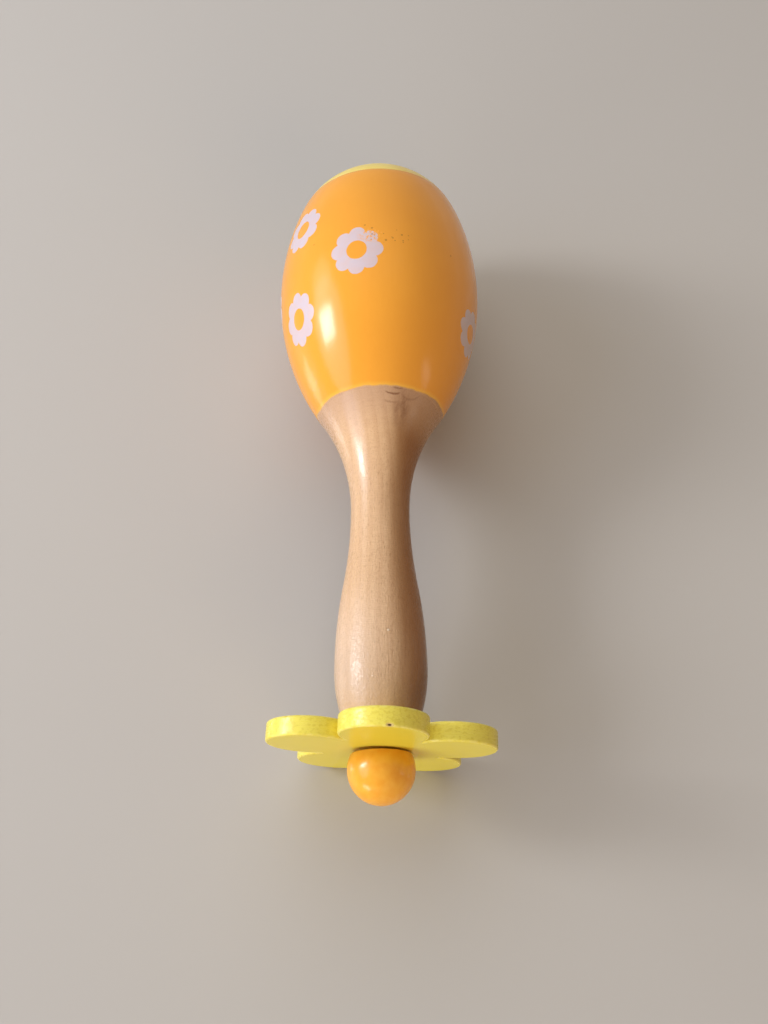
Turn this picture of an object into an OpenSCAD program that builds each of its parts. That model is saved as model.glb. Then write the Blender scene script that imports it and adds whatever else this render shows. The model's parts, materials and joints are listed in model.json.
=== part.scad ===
// Turned wooden toy maraca, lying on the floor as a child puts it down.
// It rests on two petals of the flower guard and on the belly of the egg-shaped head.
// Every turned piece is drawn upright on its own axis, with the end ball's tip at height 0,
// and is then laid down so that +Y runs from the ball to the crown and the floor is at height 0.

/* [End ball] */
// Diameter of the ball
ball_d = 17.5; // [14:0.1:22]
// Height of the ball from its tip to its flat
ball_h = 12.7; // [11:0.1:14]
// Rounding of the edge round the ball's flat
ball_edge = 0.5; // [0.2:0.1:1]
// Depth of the dowel's hole in the ball
ball_hole = 7.6; // [5:0.1:9]

/* [Flower guard] */
// Diameter of the flower over its petals
guard_d = 60; // [52:0.1:70]
// Thickness of the flower's plywood
guard_t = 4.9; // [3:0.1:8]
// Diameter of one round petal
petal_d = 22; // [18:0.1:26]
// Diameter of the hub disc, whose edge is the bottom of the notches between the petals
hub_d = 32.4; // [26:0.1:36]
// Number of petals
petals = 5; // [5:2:7]
// Rounding of the flower's edges
guard_edge = 0.6; // [0.2:0.1:1]
// How far the loose flower leans on its dowel, in degrees
guard_lean = 2.2; // [0:0.1:3]

/* [Handle] */
// Diameter of the handle's end beside the flower
end_d = 18.2; // [16:0.1:20]
// Rounding of the handle's end
end_edge = 1; // [0.4:0.1:1.5]
// Diameter of the handle's swell
swell_d = 24.8; // [22:0.1:28]
// Length from the handle's end to the swell
swell_l = 15.7; // [12:0.1:20]
// Length from the swell to the place where its round turns hollow
turn_l = 23.6; // [15:0.1:30]
// Diameter of the handle's waist
waist_d = 16.8; // [14:0.1:20]
// Length from the swell to the waist
waist_l = 46; // [38:0.1:52]
// Length of the flare from the waist to the shoulder that meets the head
flare_l = 31.4; // [25:0.1:36]
// Diameter of the tenon in the head
tenon_d = 24; // [18:0.1:27]
// Depth of the dowel's hole in the handle
handle_hole = 18; // [12:0.1:24]

/* [Head] */
// Widest diameter of the head
head_d = 62.8; // [56:0.1:72]
// Length from the handle's shoulder to the head's widest place
belly_l = 44.3; // [38:0.1:52]
// Radius of the head's side above its widest place
upper_r = 86; // [70:0.5:105]
// Length from the head's widest place to the rim under the cap
rim_l = 30.7; // [26:0.1:34]
// Wall of the hollow
wall = 6; // [4:0.1:8]
// Thickness of the floor that holds the tenon
floor_t = 12.5; // [9:0.1:16]
// Diameter of the mouth that the cap closes
mouth_d = 40; // [34:0.1:42]

/* [Crown cap] */
// How much smaller the radius of the round crown is than the head's widest radius
crown_in = 3.2; // [1:0.1:8]
// Length of the cap's spigot in the mouth
spigot_l = 8; // [5:0.1:11]

/* [Dowel] */
// Diameter of the dowel
dowel_d = 6; // [4:0.1:8]
// Chamfer of the dowel's ends
dowel_chamfer = 0.6; // [0.2:0.1:1]

/* [Pellets] */
// Diameter of one pellet
pellet_d = 5; // [3.5:0.1:5.6]
// Gap between the paths of neighbouring pellets
path_gap = 0.4; // [0.3:0.1:1]

/* [Clearances] */
// Glue gap round a dowel, a tenon or a spigot, on the radius
glue_gap = 0.05; // [0.02:0.01:0.15]
// Gap left at the bottom of a glued hole
hole_end = 0.4; // [0.2:0.1:1]
// Gap between the flower's hole and the dowel, on the radius
spin_gap = 0.25; // [0.1:0.05:0.5]
// Gap between the flower and the ball
ball_gap = 0.6; // [0.3:0.1:1]
// Gap between the flower and the handle
guard_gap = 0.6; // [0.2:0.1:0.8]
// Gap between a pellet and the wall where it rests
pellet_gap = 0.3; // [0.2:0.1:0.6]

/* [Hidden] */
$fn = 144;
// How far a cut or a joined stretch runs past the face that it starts from
cut = 1;
// How far a rounding runs on inside the larger arc that it joins
lap = 0.2;

// Radii
ball_r = ball_d / 2;
petal_r = petal_d / 2;
swell_r = swell_d / 2;
waist_r = waist_d / 2;
head_r = head_d / 2;
crown_r = head_r - crown_in;
pellet_r = pellet_d / 2;

// Heights along the axis, from the ball's tip
guard_z = ball_h + ball_gap;
end_z = guard_z + guard_t + guard_gap;
swell_z = end_z + swell_l;
turn_z = swell_z + turn_l;
waist_z = swell_z + waist_l;
neck_z = waist_z + flare_l;
floor_z = neck_z + floor_t;
belly_z = neck_z + belly_l;
rim_z = belly_z + rim_l;
mouth_z = rim_z - spigot_l;

// Arcs of the handle. Neighbouring arcs are tangent: the two radii that join a crest to a trough
// add up to one sum, which the place where round turns hollow divides.
function arc_sum(length, drop) = (length * length + drop * drop) / (2 * drop);
end_arc = arc_sum(swell_l, swell_r - end_d / 2);
grip_sum = arc_sum(waist_l, swell_r - waist_r);
swell_arc = grip_sum * turn_l / waist_l;
waist_arc = grip_sum - swell_arc;
neck_sum = arc_sum(flare_l + belly_l, head_r - waist_r);
flare_arc = neck_sum * flare_l / (flare_l + belly_l);
belly_arc = neck_sum - flare_arc;

// The crown is a ball on the axis that the arc of the head's side touches from inside at this turn.
crown_turn = acos((upper_r - head_r) / (upper_r - crown_r));
crown_c = belly_z + (upper_r - crown_r) * sin(crown_turn);
crown_z = crown_c + crown_r;

// Distance of the petals' centres from the axis
petal_at = guard_d / 2 - petal_r;

// Lying on the floor: the axis tilts until the head's belly and the lowest petal touch one line.
// The lean brings that petal's face to this height along the axis.
rest_z = guard_z - petal_at * sin(180 / petals) * sin(guard_lean);
low = petal_at * cos(180 / petals) + petal_r - guard_edge;
reach = belly_z - rest_z - guard_edge;
rise = low - head_r + belly_arc;
tilt = atan2(reach, rise) - acos((belly_arc - guard_edge) / norm([reach, rise]));
axis_z = low * cos(tilt) + guard_edge - (rest_z + guard_edge) * sin(tilt);
back_y = ball_r * cos(tilt) - ball_r;
front_y = crown_c * cos(tilt) + crown_r;
mid_y = (back_y + front_y) / 2;

// Pellets: rows across the hollow's lowest place, each pellet on a path of its own
pellet_rows = [3, 4, 5, 4, 3];
path_step = pellet_d + path_gap;
row_step = path_step * sin(60);
middle_row = (len(pellet_rows) - 1) / 2;
lowest_z = belly_z - (belly_arc - wall) * sin(tilt);
pellet_places = [for (row = [0 : len(pellet_rows) - 1]) for (k = [0 : pellet_rows[row] - 1])
    [(k - (pellet_rows[row] - 1) / 2) * path_step, lowest_z + (row - middle_row) * row_step]];
function upper_or_lower(z) = z < belly_z ? belly_arc : upper_r;
function inner_r(z, off) = head_r - upper_or_lower(z)
    + sqrt(pow(upper_or_lower(z) - off, 2) - pow(z - belly_z, 2));
function pellet_depth(place) =
    sqrt(pow(inner_r(place[1], wall + pellet_gap + pellet_r), 2) - pow(place[0], 2));
function pellet_name(i) = str("pellet_", i < 9 ? "0" : "", i + 1);

// Lays an upright piece down on the floor. The upright -Y side becomes the top.
module lie() {
    translate([0, -mid_y, axis_z]) rotate([tilt - 90, 0, 0]) children();
}

// Half profile under a round arc whose centre is at radius cr and height cz
module round_arc(cr, cz, arc, from, to) {
    intersection() {
        union() {
            translate([cr, cz]) circle(arc);
            if (cr > 0) translate([0, from]) square([cr, to - from]);
        }
        translate([0, from]) square([cr + arc, to - from]);
    }
}

// Half profile under a hollow arc whose centre is at radius cr and height cz
module hollow_arc(cr, cz, arc, from, to) {
    difference() {
        translate([0, from]) square([cr, to - from]);
        translate([cr, cz]) circle(arc);
    }
}

// Half profile of a straight stretch
module straight(r, from, to) {
    translate([0, from]) square([r, to - from]);
}

// Centre radius of an edge rounding at height z inside an arc, and the height where it leaves the arc
function edge_r(cr, cz, arc, edge, z) = cr + sqrt(pow(arc - edge, 2) - pow(z - cz, 2));
function edge_end(cz, arc, edge, z) = cz + (z - cz) * arc / (arc - edge);

// Half profile of the egg from a height to another, or of its inside when drawn in by off
module egg(off, from, to) {
    crown_from = belly_z + (upper_r - off) * sin(crown_turn);
    intersection() {
        union() {
            round_arc(head_r - belly_arc, belly_z, belly_arc - off, neck_z, belly_z);
            round_arc(head_r - upper_r, belly_z, upper_r - off, belly_z, crown_from);
            round_arc(0, crown_c, crown_r - off, crown_from, crown_z - off);
        }
        translate([0, from]) square([head_r, to - from]);
    }
}

module head_shell() {
    color([0.95, 0.66, 0.22]) lie() rotate_extrude() difference() {
        egg(0, neck_z, rim_z);
        egg(wall, floor_z, mouth_z);
        straight(mouth_d / 2, mouth_z - cut, rim_z + cut);
        straight(tenon_d / 2 + glue_gap, neck_z - cut, floor_z + cut);
    }
}

module crown_cap() {
    color([0.96, 0.85, 0.36]) lie() rotate_extrude() {
        straight(mouth_d / 2 - glue_gap, mouth_z, rim_z + cut);
        egg(0, rim_z, crown_z);
    }
}

module handle() {
    end_cr = swell_r - end_arc;
    edge_z = end_z + end_edge;
    arc_z = edge_end(swell_z, end_arc, end_edge, edge_z);
    color([0.87, 0.70, 0.53]) lie() rotate_extrude() difference() {
        union() {
            round_arc(edge_r(end_cr, swell_z, end_arc, end_edge, edge_z), edge_z, end_edge,
                      end_z, arc_z + lap);
            round_arc(end_cr, swell_z, end_arc, arc_z, swell_z);
            round_arc(swell_r - swell_arc, swell_z, swell_arc, swell_z, turn_z);
            hollow_arc(waist_r + waist_arc, waist_z, waist_arc, turn_z, waist_z);
            hollow_arc(waist_r + flare_arc, waist_z, flare_arc, waist_z, neck_z);
            straight(tenon_d / 2, neck_z - cut, floor_z);
        }
        straight(dowel_d / 2 + glue_gap, end_z - cut, end_z + handle_hole);
    }
}

// A disc with rounded edges
module soft_disc(r, t, edge) {
    rotate_extrude() {
        straight(r - edge, 0, t);
        straight(r, edge, t - edge);
        for (z = [edge, t - edge]) translate([r - edge, z]) circle(edge, $fn = 32);
    }
}

module flower_guard() {
    color([0.93, 0.83, 0.34]) lie() translate([0, 0, guard_z + guard_t / 2])
        rotate([0, guard_lean, 0]) translate([0, 0, -guard_t / 2]) difference() {
            union() {
                cylinder(h = guard_t, r = hub_d / 2);
                for (i = [0 : petals - 1])
                    rotate(i * 360 / petals - 90) translate([petal_at, 0, 0])
                        soft_disc(petal_r, guard_t, guard_edge);
            }
            translate([0, 0, -cut]) cylinder(h = guard_t + 2 * cut, r = dowel_d / 2 + spin_gap);
        }
}

module axle_dowel() {
    from = ball_h - ball_hole + hole_end;
    to = end_z + handle_hole - hole_end;
    r = dowel_d / 2;
    color([0.84, 0.68, 0.48]) lie() rotate_extrude() polygon([
        [0, from], [r - dowel_chamfer, from], [r, from + dowel_chamfer],
        [r, to - dowel_chamfer], [r - dowel_chamfer, to], [0, to]]);
}

module end_ball() {
    edge_z = ball_h - ball_edge;
    arc_z = edge_end(ball_r, ball_r, ball_edge, edge_z);
    color([0.94, 0.62, 0.20]) lie() rotate_extrude() difference() {
        union() {
            round_arc(0, ball_r, ball_r, 0, arc_z);
            round_arc(edge_r(0, ball_r, ball_r, ball_edge, edge_z), edge_z, ball_edge,
                      arc_z - lap, ball_h);
        }
        straight(dowel_d / 2 + glue_gap, ball_h - ball_hole, ball_h + cut);
    }
}

module pellet(i) {
    place = pellet_places[i];
    color([0.80, 0.30, 0.20]) lie() translate([place[0], pellet_depth(place), place[1]])
        sphere(pellet_r, $fn = 48);
}

head_shell();
crown_cap();
handle();
flower_guard();
axle_dowel();
end_ball();
for (i = [0 : len(pellet_places) - 1])
    pellet(i);
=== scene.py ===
"""Looks of a turned wooden toy maraca that lies on a pale floor.

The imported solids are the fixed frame. The head, its crown cap, the handle, the flower guard and the
end ball are made here as fine surfaces of the same sizes. The dowel and the pellets keep their solids.
Sizes are in millimetres, and become metres where a mesh is made.
"""

from __future__ import annotations

import json
import logging
import math
from dataclasses import dataclass, field, replace
from enum import Enum, auto

import bpy
import numpy as np
from mathutils import Matrix, Vector

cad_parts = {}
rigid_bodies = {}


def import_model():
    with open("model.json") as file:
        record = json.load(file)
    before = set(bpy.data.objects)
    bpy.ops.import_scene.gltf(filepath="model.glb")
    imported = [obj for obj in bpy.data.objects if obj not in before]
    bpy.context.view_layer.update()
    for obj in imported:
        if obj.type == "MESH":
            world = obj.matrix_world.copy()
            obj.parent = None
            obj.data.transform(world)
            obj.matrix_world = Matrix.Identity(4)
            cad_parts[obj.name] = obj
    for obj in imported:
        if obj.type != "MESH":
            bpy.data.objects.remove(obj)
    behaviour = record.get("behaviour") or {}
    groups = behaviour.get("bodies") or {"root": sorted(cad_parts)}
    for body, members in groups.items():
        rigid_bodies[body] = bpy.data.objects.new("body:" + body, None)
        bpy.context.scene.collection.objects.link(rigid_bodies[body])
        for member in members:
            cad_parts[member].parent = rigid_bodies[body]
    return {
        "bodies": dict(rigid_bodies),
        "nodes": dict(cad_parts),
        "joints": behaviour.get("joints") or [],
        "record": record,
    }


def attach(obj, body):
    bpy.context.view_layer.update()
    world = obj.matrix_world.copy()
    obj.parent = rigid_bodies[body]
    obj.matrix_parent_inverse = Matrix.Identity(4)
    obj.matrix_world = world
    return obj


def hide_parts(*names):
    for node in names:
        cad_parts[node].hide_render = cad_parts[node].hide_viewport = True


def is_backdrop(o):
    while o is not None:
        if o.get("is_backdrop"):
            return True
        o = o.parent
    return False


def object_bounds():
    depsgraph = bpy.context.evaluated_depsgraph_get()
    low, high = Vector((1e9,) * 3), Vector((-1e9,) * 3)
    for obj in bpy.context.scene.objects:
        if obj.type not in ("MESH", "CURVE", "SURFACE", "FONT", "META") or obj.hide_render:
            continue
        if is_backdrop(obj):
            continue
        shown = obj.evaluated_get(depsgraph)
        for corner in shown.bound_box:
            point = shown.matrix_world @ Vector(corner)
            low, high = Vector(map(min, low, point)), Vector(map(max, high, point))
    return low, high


LOG = logging.getLogger("maraca")
MM = 0.001
# Outline points this close count as one, and an arc has at least the fewest points.
SAME_MM = 1e-6
FEWEST_POINTS = 4
# An edge between faces at a larger angle shades as a sharp one.
SHARP_DEGREES = 32.0
# Specular level of gloss paint, and how deep a patch on the wood reaches in millimetres.
PAINT_SPECULAR = 0.42
PATCH_DEPTH = 6.0
# The maraca's right, square to its axis.
RIGHT = Vector((1.0, 0.0, 0.0))
Colour = tuple[float, float, float, float]
Socket = bpy.types.NodeSocket


def srgb(red: int, green: int, blue: int) -> Colour:
    """Turns a colour as seen on a screen into the linear colour that shaders use.

    Args:
        red: Red from 0 to 255.
        green: Green from 0 to 255.
        blue: Blue from 0 to 255.

    Returns:
        The linear colour with full opacity.
    """
    seen = np.array([red, green, blue]) / 255
    linear = np.where(seen <= 0.04045, seen / 12.92, ((seen + 0.055) / 1.055) ** 2.4)
    return (*(float(c) for c in linear), 1.0)


HEAD_ORANGE = srgb(243, 166, 54)


class Bend(Enum):
    """Which way an arc of a turned outline bends."""

    ROUND = 1
    HOLLOW = -1


class Stretch(Enum):
    """Stretches of the maraca's outer outline, from the handle's end to the crown."""

    END = auto()
    SWELL = auto()
    WAIST = auto()
    FLARE = auto()
    BELLY = auto()
    SHOULDER = auto()
    CROWN = auto()


@dataclass(frozen=True)
class Arc:
    """An arc of a turned outline, part of a circle round a centre at a radius and a height."""

    centre_r: float
    centre_z: float
    radius: float
    start_z: float
    end_z: float
    bend: Bend = Bend.ROUND

    def points(self, spacing: float = 0.6) -> np.ndarray:
        """Points along the arc at even angles t: height = centre + R sin t, radius = centre + bend R cos t.

        Args:
            spacing: About how far apart the points lie.

        Returns:
            An array of rows (radius, height).
        """
        ends = np.arcsin(np.clip((np.array([self.start_z, self.end_z]) - self.centre_z) / self.radius, -1, 1))
        count = max(FEWEST_POINTS, math.ceil(abs(ends[1] - ends[0]) * self.radius / spacing) + 1)
        turn = np.linspace(ends[0], ends[1], count)
        return np.stack([self.centre_r + self.bend.value * self.radius * np.cos(turn),
                         self.centre_z + self.radius * np.sin(turn)], axis=1)

    def at(self, height: float) -> tuple[float, float]:
        """Radius at a height, centre + bend sqrt(R^2 - rise^2), and its slope along the axis.

        Args:
            height: Height on the arc.

        Returns:
            The radius, and its change with height.
        """
        rise = height - self.centre_z
        reach = self.bend.value * math.sqrt(self.radius**2 - rise**2)
        return self.centre_r + reach, -rise / reach


def join(*stretches: np.ndarray | list[tuple[float, float]]) -> np.ndarray:
    """Joins stretches of an outline and drops points that repeat.

    Args:
        stretches: Arrays or lists of (radius, height).

    Returns:
        One array of rows (radius, height).
    """
    path = np.concatenate([np.asarray(s, float).reshape(-1, 2) for s in stretches])
    fresh = np.concatenate([[True], np.hypot(*np.diff(path, axis=0).T) > SAME_MM])
    return path[fresh]


def line(start: tuple[float, float], end: tuple[float, float], count: int) -> np.ndarray:
    """Even points on a straight stretch of an outline.

    Args:
        start: First (radius, height).
        end: Last (radius, height).
        count: Number of points.

    Returns:
        An array of rows (radius, height).
    """
    return np.linspace(start, end, count)


@dataclass(frozen=True)
class MaracaSizes:
    """Sizes of the pieces in millimetres, and the flower's lean in degrees, as the solids have them.

    Heights run along the turning axis, from the ball's tip.
    """

    ball_d: float = 17.5
    ball_h: float = 12.7
    ball_edge: float = 0.5
    ball_hole: float = 7.6
    ball_gap: float = 0.6
    guard_d: float = 60.0
    guard_t: float = 4.9
    petal_d: float = 22.0
    hub_d: float = 32.4
    guard_edge: float = 0.6
    guard_lean: float = 2.2
    guard_gap: float = 0.6
    end_d: float = 18.2
    end_edge: float = 1.0
    swell_d: float = 24.8
    swell_l: float = 15.7
    turn_l: float = 23.6
    waist_d: float = 16.8
    waist_l: float = 46.0
    flare_l: float = 31.4
    tenon_d: float = 24.0
    handle_hole: float = 18.0
    head_d: float = 62.8
    belly_l: float = 44.3
    upper_r: float = 86.0
    crown_in: float = 3.2
    rim_l: float = 30.7
    wall: float = 6.0
    floor_t: float = 12.5
    mouth_d: float = 40.0
    spigot_l: float = 8.0
    dowel_d: float = 6.0
    glue_gap: float = 0.05
    spin_gap: float = 0.25

    @property
    def guard_z(self) -> float:
        """Height of the flower's face towards the ball."""
        return self.ball_h + self.ball_gap

    @property
    def end_z(self) -> float:
        """Height of the handle's end."""
        return self.guard_z + self.guard_t + self.guard_gap

    @property
    def swell_z(self) -> float:
        """Height of the handle's swell."""
        return self.end_z + self.swell_l

    @property
    def waist_z(self) -> float:
        """Height of the handle's waist."""
        return self.swell_z + self.waist_l

    @property
    def neck_z(self) -> float:
        """Height of the line where the head's paint meets the bare handle."""
        return self.waist_z + self.flare_l

    @property
    def floor_z(self) -> float:
        """Height of the floor of the hollow."""
        return self.neck_z + self.floor_t

    @property
    def belly_z(self) -> float:
        """Height of the head's widest place."""
        return self.neck_z + self.belly_l

    @property
    def rim_z(self) -> float:
        """Height of the rim under the cap."""
        return self.belly_z + self.rim_l

    @property
    def mouth_z(self) -> float:
        """Height of the inner end of the mouth."""
        return self.rim_z - self.spigot_l

    def side(self) -> dict[Stretch, Arc]:
        """The outer outline as arcs, each tangent to the next.

        Two arcs that join a crest to a trough share the sum of their radii as they share the length.
        The crown's circle has its centre on the axis and touches the shoulder's circle from inside.

        Returns:
            The arc of each stretch.
        """
        swell_r, waist_r, head_r = self.swell_d / 2, self.waist_d / 2, self.head_d / 2
        end = tangent_sum(self.swell_l, swell_r - self.end_d / 2)
        grip = tangent_sum(self.waist_l, swell_r - waist_r)
        swell = grip * self.turn_l / self.waist_l
        neck_l = self.flare_l + self.belly_l
        neck = tangent_sum(neck_l, head_r - waist_r)
        flare = neck * self.flare_l / neck_l
        belly = neck - flare
        crown_r = head_r - self.crown_in
        turn = math.acos((self.upper_r - head_r) / (self.upper_r - crown_r))
        crown_c = self.belly_z + (self.upper_r - crown_r) * math.sin(turn)
        turn_z, meet_z = self.swell_z + self.turn_l, self.belly_z + self.upper_r * math.sin(turn)
        return {
            Stretch.END: Arc(swell_r - end, self.swell_z, end, self.end_z, self.swell_z),
            Stretch.SWELL: Arc(swell_r - swell, self.swell_z, swell, self.swell_z, turn_z),
            Stretch.WAIST: Arc(waist_r + grip - swell, self.waist_z, grip - swell, turn_z, self.waist_z,
                               Bend.HOLLOW),
            Stretch.FLARE: Arc(waist_r + flare, self.waist_z, flare, self.waist_z, self.neck_z, Bend.HOLLOW),
            Stretch.BELLY: Arc(head_r - belly, self.belly_z, belly, self.neck_z, self.belly_z),
            Stretch.SHOULDER: Arc(head_r - self.upper_r, self.belly_z, self.upper_r, self.belly_z, meet_z),
            Stretch.CROWN: Arc(0.0, crown_c, crown_r, meet_z, crown_c + crown_r)}

    def surface(self, height: float) -> tuple[float, float]:
        """Outer radius and its slope at a height on the handle, the head or the cap."""
        return next(a for a in self.side().values() if height <= a.end_z).at(height)


def tangent_sum(length: float, drop: float) -> float:
    """Sum of the radii of two tangent arcs that join a crest to a trough: (length^2 + drop^2) / (2 drop).

    Args:
        length: Distance from crest to trough along the axis.
        drop: Difference of their radii from the axis.

    Returns:
        The sum of the two arcs' radii.
    """
    return (length**2 + drop**2) / (2 * drop)


def eased_edge(arc: Arc, edge: float, height: float) -> tuple[float, float]:
    """Where an edge rounding sits inside a larger round arc.

    The rounding's centre lies on the larger arc, drawn in by the rounding's radius.

    Args:
        arc: The larger arc.
        edge: Radius of the rounding.
        height: Height of the rounding's centre.

    Returns:
        The radius of the rounding's centre, and the height where it leaves the arc.
    """
    inner = replace(arc, radius=arc.radius - edge)
    return inner.at(height)[0], arc.centre_z + (height - arc.centre_z) * arc.radius / inner.radius


@dataclass(frozen=True)
class Place:
    """A place on a turned piece: its height along the axis, its angle from +X upwards and a roll.

    The height is in millimetres, and the angles are in degrees.
    """

    height: float
    angle: float
    roll: float = 0.0


@dataclass(frozen=True)
class TurningAxis:
    """The maraca's long axis in the row frame, in metres, with the ball's tip as its start."""

    tip: Vector
    along: Vector

    @classmethod
    def from_frame(cls, frame: dict, sizes: MaracaSizes) -> TurningAxis:
        """Reads the axis from the joint on which the flower spins.

        Args:
            sizes: The maraca's sizes.

        Returns:
            The axis.
        """
        spin = next(j for j in frame["joints"] if j["name"] == "flower_spin")
        along = Vector(spin["axis"]).normalized()
        return cls(Vector(spin["pos_m"]) - along * (sizes.guard_z + sizes.guard_t / 2) * MM, along)

    @property
    def up(self) -> Vector:
        """The direction square to the axis that points most upwards."""
        return RIGHT.cross(self.along)

    @property
    def tilt(self) -> float:
        """Angle of the axis above the floor, in radians."""
        return math.asin(self.along.z)

    def place(self, side: np.ndarray, height: np.ndarray, rise: np.ndarray) -> np.ndarray:
        """Points in metres at millimetres beside, along and above the axis.

        Args:
            side: Distances towards +X.
            height: Distances along the axis from the ball's tip.
            rise: Distances above the axis.

        Returns:
            An array of points with a last dimension of 3.
        """
        x, y, z = (np.asarray(v)[..., None] * MM for v in np.broadcast_arrays(side, height, rise))
        tip, right, along, up = (np.array(v) for v in (self.tip, RIGHT, self.along, self.up))
        return tip + x * right + y * along + z * up

    def revolve(self, outline: np.ndarray, turns: int) -> np.ndarray:
        """Carries an outline round the axis: radius cos t beside it and radius sin t above it.

        Args:
            outline: Rows of (radius, height).
            turns: Number of steps round the axis.

        Returns:
            A grid of points: one row for each outline point, one column for each step.
        """
        angle = np.linspace(0, 2 * np.pi, turns, endpoint=False)
        radius, height = outline[:, :1], outline[:, 1:]
        return self.place(radius * np.cos(angle), height + 0 * angle, radius * np.sin(angle))

    def surface_frame(self, sizes: MaracaSizes, place: Place) -> Matrix:
        """Frame of a place on the wood: x to the right, y towards the crown, z out of the wood.

        Args:
            sizes: The maraca's sizes.
            place: The place.

        Returns:
            A matrix with the place in metres.
        """
        a = math.radians(place.angle)
        radius, slope = sizes.surface(place.height)
        outwards = RIGHT * math.cos(a) + self.up * math.sin(a)
        across = RIGHT * math.sin(a) - self.up * math.cos(a)
        normal = (outwards - self.along * slope).normalized()
        upwards = normal.cross(across)
        roll = Matrix.Rotation(math.radians(place.roll), 3, "Z")
        turn = Matrix((across, upwards, normal)).transposed() @ roll
        centre = self.tip + (self.along * place.height + outwards * radius) * MM
        return Matrix.Translation(centre) @ turn.to_4x4()


def grid_object(name: str, points: np.ndarray, wrap_rows: bool = False) -> bpy.types.Object:
    """Makes a closed surface from a grid whose columns close on themselves.

    A row whose points all coincide is a pole, and becomes one vertex with triangles round it.

    Args:
        name: Name of the object.
        points: Grid of points in metres, rows by columns by 3.
        wrap_rows: Whether the last row joins the first.

    Returns:
        The object, at the origin.
    """
    rows, columns = points.shape[:2]
    index = np.arange(rows * columns).reshape(rows, columns)
    pole = np.ptp(points, axis=1).max(axis=1) < SAME_MM * MM
    index[pole] = index[pole][:, :1]
    low, high = (index, np.roll(index, -1, axis=0)) if wrap_rows else (index[:-1], index[1:])
    faces = np.stack([low, high, np.roll(high, -1, axis=1), np.roll(low, -1, axis=1)], axis=-1).reshape(-1, 4)
    starts, ends = faces[:, 0] == faces[:, 3], faces[:, 1] == faces[:, 2]
    quads = faces[~(starts | ends)]
    tris = np.concatenate([faces[starts][:, [0, 1, 2]], faces[ends][:, [0, 1, 3]]])
    corners = np.concatenate([quads.ravel(), tris.ravel()])
    used, corners = np.unique(corners, return_inverse=True)
    counts = np.concatenate([np.full(len(quads), 4), np.full(len(tris), 3)])
    mesh = bpy.data.meshes.new(name)
    mesh.vertices.add(len(used))
    mesh.vertices.foreach_set("co", points.reshape(-1, 3)[used].astype(np.float32).ravel())
    mesh.loops.add(len(corners))
    mesh.loops.foreach_set("vertex_index", corners.astype(np.int32).ravel())
    mesh.polygons.add(len(counts))
    mesh.polygons.foreach_set("loop_start", (np.cumsum(counts) - counts).astype(np.int32))
    mesh.polygons.foreach_set("use_smooth", np.ones(len(counts), bool))
    mesh.update(calc_edges=True)
    mesh.validate()
    mesh.set_sharp_from_angle(angle=math.radians(SHARP_DEGREES))
    made = bpy.data.objects.new(name, mesh)
    bpy.context.scene.collection.objects.link(made)
    return made


def point_attribute(piece: bpy.types.Object, name: str, values: np.ndarray) -> None:
    """Stores one number per vertex, for a material to read.

    Args:
        piece: A piece whose grid has no poles, so that its vertices are the grid's points in order.
        name: Name of the attribute.
        values: Grid of numbers.
    """
    layer = piece.data.attributes.new(name, "FLOAT", "POINT")
    layer.data.foreach_set("value", values.astype(np.float32).ravel())


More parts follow.
